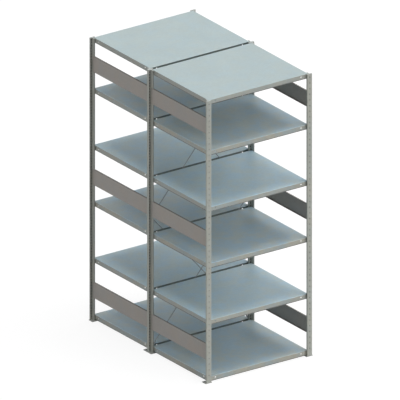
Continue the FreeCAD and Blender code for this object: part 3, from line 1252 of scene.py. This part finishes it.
# ---- shelves ---------------------------------------------------------------------------------
@dataclass
class ShelfTrays:
    """The twelve shelves, each a sheet folded down on four sides with bottom lips."""

    finishes: tuple[ZincFinish, ...] = (    # from the lowest shelf up, colours that are painted light
        PAINTED_DIM_LEVEL_ZINC, PAINTED_LIT_LEVEL_ZINC, PAINTED_DIM_LEVEL_ZINC, PAINTED_LIT_LEVEL_ZINC, PAINTED_DIM_LEVEL_ZINC, SHELF_ZINC)
    sheet: float = 1.0 * MM
    bend: float = 2.0 * MM
    lower_bend: float = 3.0 * MM       # outside radius where an edge turns under
    hem: float = 7.0 * MM              # height of the band of painted shade at its bottom
    relief: float = 2.6 * MM           # square notch at each corner of the top
    long_lip: float = 20.0 * MM
    long_hem: float = 9.0 * MM
    short_lip: float = 15.0 * MM
    lip_relief: float = 2.0 * MM
    hole: float = 10.0 * MM
    hole_from_end: float = 68.0 * MM
    hole_below_top: float = 17.0 * MM
    bend_flats: int = 3

    def tray(self) -> Workpiece:
        """The lowest shelf of the front run."""
        low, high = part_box("shelf_front_1")
        low = low - point(0.0, 0.0, EDGE_DROP)
        tray = self.blank(low, high)
        middle = (low + high) / 2.0
        to_hem = point(0.0, 0.0, low.z + self.hem - high.z)
        hem = point(0.0, 0.0, -self.hem)
        upper_folds, lower_folds = [], []
        with tray.edit():
            for side, outward in ((low.y, -1.0), (high.y, 1.0)):
                lip_end = side - outward * self.long_lip
                tray.pick(Element.EDGE, lambda edge: flush(edge, Axis.Y, side))
                tray.extrude(to_hem)
                tray.extrude(hem)
                tray.extrude(point(0.0, lip_end - side, 0.0))
                tray.extrude(point(0.0, 0.0, self.long_hem))
                upper_folds += [(Axis.Y, side, high.z), (Axis.Y, lip_end, low.z)]
                lower_folds += [(Axis.Y, side, low.z)]
            for side, outward in ((low.x, -1.0), (high.x, 1.0)):
                tray.pick(Element.EDGE, lambda edge: flush(edge, Axis.X, side))
                tray.extrude(to_hem)
                tray.extrude(hem)
                tray.pick_edges([point(side, middle.y, low.z)])
                tray.extrude(point(-outward * self.short_lip, 0.0, 0.0))
                upper_folds += [(Axis.X, side, high.z)]
                lower_folds += [(Axis.X, side, low.z)]
            # The lower folds get the hem zone's painted shade.
            for folds, radius, zone in ((upper_folds, self.bend, Zone.FOLD),
                                        (lower_folds, self.lower_bend, Zone.HEM)):
                tray.pick(Element.EDGE, lambda edge: len(edge.link_faces) == 2 and any(
                    flush(edge, axis, place) and flush(edge, Axis.Z, height)
                    for axis, place, height in folds))
                tray.round_off(radius, self.bend_flats, zone)
        tray.thicken(self.sheet, point(middle.x, middle.y, high.z), point(0.0, 0.0, -1.0))
        # Painted shade: the rear wall, in the gap between the two runs, is darker.
        tray.paint(Zone.DULL, lambda face: near(face.center.y, high.y))
        # Painted shade on the bottom band of each wall.
        tray.paint(Zone.HEM, lambda face: upright(face) and face.center.z < low.z + self.hem)
        # Painted light: the walls get the warmer, darker wall colour, and the top keeps the paler,
        # bluer zinc, as if lit from above.
        tray.paint(Zone.WALL, upright)
        tray.combine(self.hole_cutters(tray, low, high), Operation.CUT)
        return tray

    def blank(self, low: Vector, high: Vector) -> Workpiece:
        """The flat top with its corner notches, divided where the short lips end.

        Args:
            low: The finished shelf's lowest corner on every axis.
            high: Its highest corner on every axis.

        Returns:
            The blank, at the height of the shelf's top.
        """
        size = high - low
        tray = Workpiece.panel("tray", point(low.x, low.y, high.z), point(size.x, 0.0, 0.0),
                               point(0.0, size.y, 0.0))
        tray.dress(self.finishes[0].materials())
        lip_start = self.long_lip + self.lip_relief
        with tray.edit():
            tray.bisect(Axis.X, [low.x + self.relief, high.x - self.relief])
            tray.bisect(Axis.Y, [low.y + self.relief, low.y + lip_start,
                                 high.y - lip_start, high.y - self.relief])
            tray.pick(Element.FACE, lambda face: max(edge.calc_length() for edge in face.edges)
                      < self.relief + SLACK)
            bpy.ops.mesh.delete(type="FACE")
        return tray

    def hole_cutters(self, tray: Workpiece, low: Vector, high: Vector) -> list[Workpiece]:
        """Cutters for the square holes near the ends of the four edges.

        Args:
            tray: The shelf that they cut.
            low: Its lowest corner on every axis.
            high: Its highest corner on every axis.

        Returns:
            The eight cutters.
        """
        half = self.hole / 2.0
        reach = self.sheet + CUTTER_MARGIN
        height = high.z - self.hole_below_top
        spots = [(x, y, half, reach)
                 for x in (low.x + self.hole_from_end, high.x - self.hole_from_end)
                 for y in (low.y, high.y)]
        spots += [(x, y, reach, half)
                  for y in (low.y + self.hole_from_end, high.y - self.hole_from_end)
                  for x in (low.x, high.x)]
        return [tray.cut(point(x - wide, y - deep, height - half),
                         point(x + wide, y + deep, height + half)) for x, y, wide, deep in spots]

    def build(self) -> None:
        """Make one shelf, and copy it to the twelve places."""
        tray = self.tray()
        for run in Run:
            shelves = zip(shelf_lifts(run).items(), self.finishes)
            for number, ((node, lift), finish) in enumerate(shelves, 1):
                tray.dress(finish.materials())
                tray.send(f"shelf_tray_{run.value}_{number}", [Place(run).matrix(lift)],
                          finish.slot, node)
        tray.discard()


@dataclass
class ShelfStiffeners:
    """The hat channels under the middles of the shelves."""

    finish: ZincFinish = SHELF_ZINC
    sheet: float = 1.0 * MM
    bend: float = 2.0 * MM
    crown: float = 45.0 * MM
    bend_flats: int = 3

    def channel(self) -> Workpiece:
        """The channel under the lowest shelf of the front run."""
        low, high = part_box("shelf_stiffeners_front")
        shelf_low, shelf_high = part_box("shelf_front_1")
        top = shelf_high.z - self.sheet
        middle = (low.y + high.y) / 2.0
        edge = (high.y - low.y) / 2.0
        crown = self.crown / 2.0
        half = [(edge, top - self.sheet), (crown, top - self.sheet), (crown, low.z)]
        line = [point(low.x, middle + y, z) for y, z in half]
        line += [point(low.x, middle - y, z) for y, z in reversed(half)]
        width = point(high.x - low.x, 0.0, 0.0)
        channel = Workpiece.strip("channel", line, width)
        channel.dress(self.finish.materials())
        with channel.edit():
            channel.pick_edges([line[index] + width / 2.0 for index in (2, 3)])
            channel.round_off(self.bend, self.bend_flats)
            channel.pick_edges([line[index] + width / 2.0 for index in (1, 4)])
            channel.round_off(self.bend - self.sheet, self.bend_flats)
        channel.thicken(self.sheet, (line[2] + line[3] + width) / 2.0, point(0.0, 0.0, 1.0))
        return channel

    def build(self) -> None:
        """Make one channel, and copy it under every shelf, a run's channels as one piece."""
        channel = self.channel()
        for run in Run:
            placings = [Place(run).matrix(lift) for lift in shelf_lifts(run).values()]
            channel.send(f"stiffening_channels_{run.value}", placings, self.finish.slot,
                         f"shelf_stiffeners_{run.value}")
        channel.discard()


# ---- depth braces ----------------------------------------------------------------------------
@dataclass
class DepthBraces:
    """The twelve bands between the posts of a run, hooked on the outer sides of the webs."""

    finish: ZincFinish = BRACE_ZINC
    sheet: float = 1.5 * MM
    bend: float = 2.5 * MM
    upper_edge_drop: float = 4.5 * MM      # how much lower it ends than its CAD solid
    lip_setback: float = 26.0 * MM         # from the plate's end to a lip's end
    tongue_from_edge: float = 30.0 * MM
    tongue_reach: float = 8.0 * MM         # from the plate's outer face to the tongue's tip
    tongue_drop: float = 6.0 * MM
    leaf: float = 1.8 * MM                 # the web's leaf and the room in front of a hook
    notch: float = 3.0 * MM                # square relief notch beside each end of a fold
    bend_flats: int = 3

    def brace(self) -> Workpiece:
        """The lowest brace of the front run's left end."""
        low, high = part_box("depth_brace_front_left_low")
        middle = (low + high) / 2.0
        tongue_low = low.z + self.tongue_from_edge
        tongue_high = high.z - self.tongue_from_edge
        high = high - point(0.0, 0.0, self.upper_edge_drop)
        size = high - low
        brace = Workpiece.panel("brace", point(low.x, low.y, low.z), point(0.0, size.y, 0.0),
                                point(0.0, 0.0, size.z))
        brace.dress(self.finish.materials())
        throat = self.sheet + self.leaf
        lip_start = low.y + self.lip_setback
        lip_end = high.y - self.lip_setback
        with brace.edit():
            brace.bisect(Axis.Y, [low.y + self.notch, lip_start - self.notch, lip_start,
                                  lip_end, lip_end + self.notch, high.y - self.notch])
            brace.bisect(Axis.Z, [low.z + self.notch, tongue_low - self.notch, tongue_low,
                                  tongue_high, tongue_high + self.notch, high.z - self.notch])
            half = self.notch / 2.0
            notches = [point(low.x, side, height) for side in (low.y + half, high.y - half)
                       for height in (tongue_low - half, tongue_high + half)]
            notches += [point(low.x, side, height) for side in (lip_start - half, lip_end + half)
                        for height in (low.z + half, high.z - half)]
            brace.pick(Element.FACE, lambda face: any(
                same_point(face.calc_center_median(), notch) for notch in notches))
            bpy.ops.mesh.delete(type="FACE")
            folds = [point(low.x, middle.y, height) for height in (low.z, high.z)]
            for fold in folds:
                brace.pick_edges([fold])
                brace.extrude(point(size.x, 0.0, 0.0))
            ends = [point(low.x, end, middle.z) for end in (low.y, high.y)]
            for end in ends:
                brace.pick_edges([end])
                brace.extrude(point(throat, 0.0, 0.0))
                brace.extrude(point(self.tongue_reach - throat, 0.0, 0.0))
                hook_middle = low.x + (throat + self.tongue_reach) / 2.0
                brace.pick_edges([point(hook_middle, end.y, tongue_low)])
                brace.extrude(point(0.0, 0.0, -self.tongue_drop))
            brace.pick_edges(folds)
            brace.round_off(self.bend, self.bend_flats)
            brace.pick_edges(ends)
            brace.round_off(self.sheet, self.bend_flats)
        brace.thicken(self.sheet, point(low.x, middle.y, middle.z), point(1.0, 0.0, 0.0))
        # Painted shade: the level lips along the top and bottom are darker.
        brace.paint(Zone.DULL, lambda face: not upright(face))
        return brace

    def build(self) -> None:
        """Make one brace, and copy it to the twelve places."""
        brace = self.brace()
        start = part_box("depth_brace_front_left_low")[0].z
        for run in Run:
            for side in Side:
                for level in Level:
                    node = brace_node(run, side, level)
                    placed = Place(run, side).matrix(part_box(node)[0].z - start)
                    brace.send(f"brace_band_{run.value}_{side.value}_{level.value}", [placed],
                               self.finish.slot, node)
        brace.discard()


# ---- small fittings --------------------------------------------------------------------------
@dataclass
class ShelfClips:
    """The bent strips that hook in the posts' slots and carry the shelves' corners."""

    finish: ZincFinish = FITTING_ZINC
    sheet: float = 2.0 * MM
    width: float = 8.0 * MM
    inner_bend: float = 0.1 * MM               # tight, to sit on the slot's square edge
    hook_up: float = 12.0 * MM + EDGE_DROP     # from the seat to the slot's lower edge
    hook_drop: float = 5.0 * MM
    post_sheet: float = SlottedPosts.sheet
    clearance: float = 0.3 * MM
    flange_depth: float = SlottedPosts.flange_depth
    slot_offset: float = SlottedPosts.slot_offset
    bend_flats: int = 3

    def clip(self) -> Workpiece:
        """The clip under the front left corner of the lowest shelf."""
        post_low, post_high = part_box("post_front_outer_left")
        seat_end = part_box("clips_front_outer_left")[1].y
        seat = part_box("shelf_front_1")[0].z - EDGE_DROP
        face = post_low.y + self.flange_depth
        catch = seat + self.hook_up
        hook = face - self.post_sheet - self.clearance
        start = (post_low.x + post_high.x) / 2.0 + self.slot_offset - self.width / 2.0
        line = [point(start, y, z) for y, z in (
            (seat_end, seat - self.sheet), (face, seat - self.sheet), (face, catch),
            (hook, catch), (hook, catch - self.hook_drop))]
        width = point(self.width, 0.0, 0.0)
        clip = Workpiece.strip("clip", line, width)
        clip.dress(self.finish.materials())
        with clip.edit():
            clip.pick_edges([line[1] + width / 2.0])
            clip.round_off(self.inner_bend + self.sheet, self.bend_flats, Zone.SHEET)
            clip.pick_edges([line[index] + width / 2.0 for index in (2, 3)])
            clip.round_off(self.inner_bend, self.bend_flats, Zone.SHEET)
        at = (line[0] + line[1] + width) / 2.0
        clip.thicken(self.sheet, at, point(0.0, 0.0, 1.0))
        return clip

    def build(self) -> None:
        """Make one clip, and copy it to every shelf corner, a post's clips as one piece."""
        clip = self.clip()
        lifts = shelf_lifts(Run.FRONT).values()
        for place in post_places():
            label = place.post_label()
            clip.send(f"hooked_clips_{label}", [place.matrix(lift) for lift in lifts],
                      self.finish.slot, f"clips_{label}")
        clip.discard()


@dataclass
class RowConnectors:
    """The channels that hold the two inner posts of a frame together."""

    finish: ZincFinish = FITTING_ZINC
    sheet: float = 2.0 * MM
    bend: float = 3.0 * MM
    height: float = 40.0 * MM
    levels: tuple[float, ...] = (0.400, 1.400, 2.150)
    bend_flats: int = 4

    def channel(self) -> Workpiece:
        """The lowest channel of the left frame."""
        low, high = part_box("row_connectors_left")
        line = [point(low.x, low.y, low.z), point(high.x, low.y, low.z),
                point(high.x, high.y, low.z), point(low.x, high.y, low.z)]
        width = point(0.0, 0.0, self.height)
        channel = Workpiece.strip("connector", line, width)
        channel.dress(self.finish.materials())
        with channel.edit():
            channel.pick_edges([line[index] + width / 2.0 for index in (1, 2)])
            channel.round_off(self.bend, self.bend_flats)
        channel.thicken(self.sheet, (line[1] + line[2] + width) / 2.0, point(-1.0, 0.0, 0.0))
        return channel

    def build(self) -> None:
        """Make one channel, and copy it to its levels and sides, a side's as one piece."""
        channel = self.channel()
        for side in Side:
            placings = [Place(side=side).matrix(level - self.levels[0]) for level in self.levels]
            channel.send(f"row_channels_{side.value}", placings, self.finish.slot,
                         f"row_connectors_{side.value}")
        channel.discard()


@dataclass
class CrossRods:
    """The two crossed pairs of rods in the middle plane, flattened and hooked at their ends."""

    finish: ZincFinish = ROD_ZINC
    radius: float = 3.5 * MM
    axis_from_middle: float = 9.5 * MM
    slot_offset: float = SlottedPosts.slot_offset
    slot_height: float = SlottedPosts.slot_height
    flange_depth: float = SlottedPosts.flange_depth
    post_sheet: float = SlottedPosts.sheet
    clearance: float = 0.3 * MM
    pad_sheet: float = 2.5 * MM
    pad_width: float = 14.0 * MM
    pad_start: float = 5.0 * MM            # from the hook to the pad's tip
    pad_end: float = 33.0 * MM             # from the hook to where the pad starts to round
    neck_end: float = 46.0 * MM            # from the hook to where the rod is round
    hook_width: float = 8.0 * MM
    hook_drop: float = 5.0 * MM
    hook_heights: tuple[tuple[str, float, float], ...] = (
        ("lower", 0.056, 1.181), ("upper", 1.206, 2.331))
    sides: int = 16
    tip_steps: tuple[tuple[float, float], ...] = ((2.0 * MM, 0.86), (1.5 * MM, 0.62))

    def rod(self, low: float, high: float) -> Workpiece:
        """The front run's rod of one pair.

        Args:
            low: Height of its hook on the left.
            high: Height of its hook on the right.

        Returns:
            The rod, with both flattened ends and hooks.
        """
        post_low, post_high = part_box("post_front_inner_left")
        slot = (post_low.x + post_high.x) / 2.0 + self.slot_offset
        start = point(slot, -self.axis_from_middle, low)
        end = point(-slot, -self.axis_from_middle, high)
        length = (end - start).length
        rod = Workpiece.bar("rod", self.radius, point(self.neck_end, 0.0, 0.0),
                            point(length - self.neck_end, 0.0, 0.0), self.sides)
        rod.dress(self.finish.materials())
        with rod.edit():
            self.flatten_end(rod, self.neck_end, -1.0)
            self.flatten_end(rod, length - self.neck_end, 1.0)
        turn = Quaternion((0.0, 1.0, 0.0), -math.atan2(high - low, end.x - start.x))
        rod.settle(Matrix.Translation(start) @ turn.to_matrix().to_4x4())
        hook = self.hook(slot, low)
        other = self.hook(slot, high)
        mirrored = other.mirrored_copy("hook", mirror_matrix(Axis.X, 0.0))
        other.discard()
        rod.combine([hook, mirrored], Operation.WELD)
        return rod

    def flatten_end(self, rod: Workpiece, face_at: float, away: float) -> None:
        """Draw a flattened pad out of one end of the bar, which lies along X.

        Args:
            rod: The bar, in edit mode.
            face_at: Where its end face is.
            away: 1 where the end points along +X, and -1 where it points along -X.
        """
        pad_shift = self.axis_from_middle - self.flange_depth - self.pad_sheet / 2.0
        flat = self.pad_sheet / (2.0 * self.radius)
        full = self.pad_width / (2.0 * self.radius)
        rod.pick(Element.FACE, lambda face: flush(face, Axis.X, face_at))
        neck = (self.neck_end - self.pad_end) * away
        thick, wide = 1.0, 1.0
        for share in (0.5, 1.0):
            rod.extrude(point(neck / 2.0, pad_shift / 2.0, 0.0))
            was_thick, was_wide = thick, wide
            thick = 1.0 + (flat - 1.0) * share
            wide = 1.0 + (full - 1.0) * share
            bpy.ops.transform.resize(
                value=(1.0, thick / was_thick, wide / was_wide),
                center_override=(face_at + neck * share, pad_shift * share, 0.0))
        tip = sum(step for step, shrink in self.tip_steps)
        rod.extrude(point((self.pad_end + self.pad_start - tip) * away, 0.0, 0.0))
        for step, shrink in self.tip_steps:
            rod.extrude(point(step * away, 0.0, 0.0))
            bpy.ops.transform.resize(value=(1.0, 1.0, shrink),
                                     center_override=(0.0, pad_shift, 0.0))

    def hook(self, slot: float, height: float) -> Workpiece:
        """The hook from a pad through a slot of the left post.

        Args:
            slot: Where the slot's middle is along X.
            height: The height of its middle.

        Returns:
            The hook.
        """
        face = -self.flange_depth
        catch = height - self.slot_height / 2.0
        behind = face + self.post_sheet + self.clearance
        start = slot - self.hook_width / 2.0
        line = [point(start, face - self.pad_sheet / 2.0, catch), point(start, behind, catch),
                point(start, behind, catch - self.hook_drop)]
        width = point(self.hook_width, 0.0, 0.0)
        hook = Workpiece.strip("hook", line, width)
        hook.dress(self.finish.materials())
        hook.thicken(self.pad_sheet, (line[0] + line[1] + width) / 2.0, point(0.0, 0.0, 1.0))
        return hook

    def build(self) -> None:
        """Make both front rods, and turn copies of them by half a turn for the rear ones."""
        half_turn = Matrix.Rotation(math.pi, 4, "Z")
        for level, low, high in self.hook_heights:
            rod = self.rod(low, high)
            for run, placed in ((Run.FRONT, Matrix.Identity(4)), (Run.REAR, half_turn)):
                rod.send(f"tension_rod_{level}_{run.value}", [placed], self.finish.slot,
                         f"cross_rod_{level}_{run.value}")
            rod.discard()


# ---- studio ----------------------------------------------------------------------------------
@dataclass(frozen=True)
class SoftLamp:
    """A soft lamp far away, whose light comes from one side.

    Args:
        name: Its name.
        azimuth: Where it stands: 0 is in front of the unit and 90 at its right, in degrees.
        elevation: How high it stands, in degrees.
        strength: Its light on a surface that faces it.
        spread: How wide it looks from the unit, in degrees.
    """

    name: str
    azimuth: float
    elevation: float
    strength: float
    spread: float = 56.0

    DISTANCE = 10.0                # doesn't change the light of such a lamp

    def build(self) -> None:
        """Hang the lamp."""
        toward = direction(self.azimuth, self.elevation)
        lamp = bpy.data.lights.new(self.name, "SUN")
        lamp.energy = self.strength
        lamp.angle = math.radians(self.spread)
        holder = bpy.data.objects.new(self.name, lamp)
        bpy.context.scene.collection.objects.link(holder)
        holder.location = toward * self.DISTANCE
        holder.rotation_mode = "QUATERNION"
        holder.rotation_quaternion = toward.to_track_quat("Z", "Y")


@dataclass
class Studio:
    """The pale floor, the soft lamps and the camera."""

    azimuth: float = -35.05                # degrees
    elevation: float = 22.61
    frame_height: float = 3.2704           # what the picture's side spans
    aim_right: float = -0.0063             # from the middle of the footprint, in the picture
    aim_up: float = 1.1257
    distance: float = 12.0
    sight: float = 240.0                   # how far the camera sees
    floor_size: float = 80.0
    white: Colour = grey(1.0)
    floor_glow: float = 0.86
    floor_shade: float = 0.2               # keeps the faint shadow that the camera sees
    floor_bounce: float = 0.35             # how much light the floor throws on the unit
    lamps: tuple[SoftLamp, ...] = (
        SoftLamp("overhead_lamp", 0.0, 90.0, 1.39, spread=34.0),
        SoftLamp("right_lamp", 90.0, 30.0, 0.75),
        SoftLamp("front_right_lamp", 45.0, 30.0, 1.37),
        SoftLamp("front_lamp", 0.0, 30.0, 0.44),
        SoftLamp("left_lamp", -90.0, 30.0, 0.42))

    @staticmethod
    def seen(wiring: Wiring) -> Wire:
        """Whether a ray looks at the surface or takes light from it.

        Args:
            wiring: The wiring of the floor or the surroundings.

        Returns:
            1 for the camera's rays, reflections and glass, and 0 for light on the object.
        """
        path = wiring.node("ShaderNodeLightPath", {}, {})
        camera = Wire(wiring, path.outputs["Is Camera Ray"])
        glossy = Wire(wiring, path.outputs["Is Glossy Ray"])
        through = Wire(wiring, path.outputs["Is Transmission Ray"])
        return wiring.math("MINIMUM", camera + glossy + through, 1.0)

    def make_world(self) -> None:
        """Plain white surroundings, which are seen and reflected but give no other light."""
        world = bpy.data.worlds.new("studio")
        bpy.context.scene.world = world
        wiring = Wiring(world)
        background = wiring.wire("ShaderNodeBackground", {},
                                 {"Color": self.white, "Strength": self.seen(wiring)})
        wiring.node("ShaderNodeOutputWorld", {}, {"Surface": background})

    def make_floor(self) -> None:
        """A white floor that keeps a faint shadow, and isn't seen from below."""
        half = self.floor_size / 2.0
        floor = Workpiece.panel("studio_floor", point(-half, -half, 0.0),
                                point(self.floor_size, 0.0, 0.0),
                                point(0.0, self.floor_size, 0.0))
        material = bpy.data.materials.new("studio_floor")
        wiring = Wiring(material)
        glow = wiring.wire("ShaderNodeEmission", {},
                           {"Color": self.white, "Strength": self.floor_glow})
        shadow = wiring.wire("ShaderNodeBsdfDiffuse", {}, {"Color": grey(self.floor_shade)})
        shown = wiring.wire("ShaderNodeAddShader", {}, {0: glow, 1: shadow})
        plain = wiring.wire("ShaderNodeBsdfDiffuse", {}, {"Color": grey(self.floor_bounce)})
        face = wiring.wire("ShaderNodeMixShader", {}, {0: self.seen(wiring), 1: plain, 2: shown})
        clear = wiring.wire("ShaderNodeBsdfTransparent", {}, {})
        back = wiring.wire("ShaderNodeNewGeometry", {}, {}, "Backfacing")
        surface = wiring.wire("ShaderNodeMixShader", {}, {0: back, 1: face, 2: clear})
        wiring.node("ShaderNodeOutputMaterial", {}, {"Surface": surface})
        floor.dress([material])

    def make_camera(self) -> None:
        """The parallel camera at the front left, a little above the unit's middle."""
        back = direction(self.azimuth, self.elevation)
        turn = math.radians(self.azimuth)
        right = point(math.cos(turn), math.sin(turn), 0.0)
        up = back.cross(right)
        lens = bpy.data.cameras.new("camera")
        lens.type = "ORTHO"
        lens.ortho_scale = self.frame_height
        lens.clip_end = self.sight
        camera = bpy.data.objects.new("camera", lens)
        bpy.context.scene.collection.objects.link(camera)
        aim = right * self.aim_right + up * self.aim_up
        camera.location = aim + back * self.distance
        camera.rotation_mode = "QUATERNION"
        camera.rotation_quaternion = back.to_track_quat("Z", "Y")
        bpy.context.scene.camera = camera

    def build(self) -> None:
        """Set up the studio."""
        bpy.context.scene.view_settings.view_transform = "Standard"
        self.make_world()
        self.make_floor()
        for lamp in self.lamps:
            lamp.build()
        self.make_camera()


def main() -> None:
    """Build the studio and every sub-assembly, logging each piece as it is handed over."""
    logging.basicConfig(level=logging.INFO, format="%(name)s: %(message)s")
    Studio().build()
    for assembly in (SlottedPosts(), FootPlates(), ShelfTrays(), ShelfStiffeners(),
                     DepthBraces(), ShelfClips(), RowConnectors(), CrossRods()):
        LOG.info("%s", type(assembly).__name__)
        assembly.build()


if __name__ == "__main__":
    main()
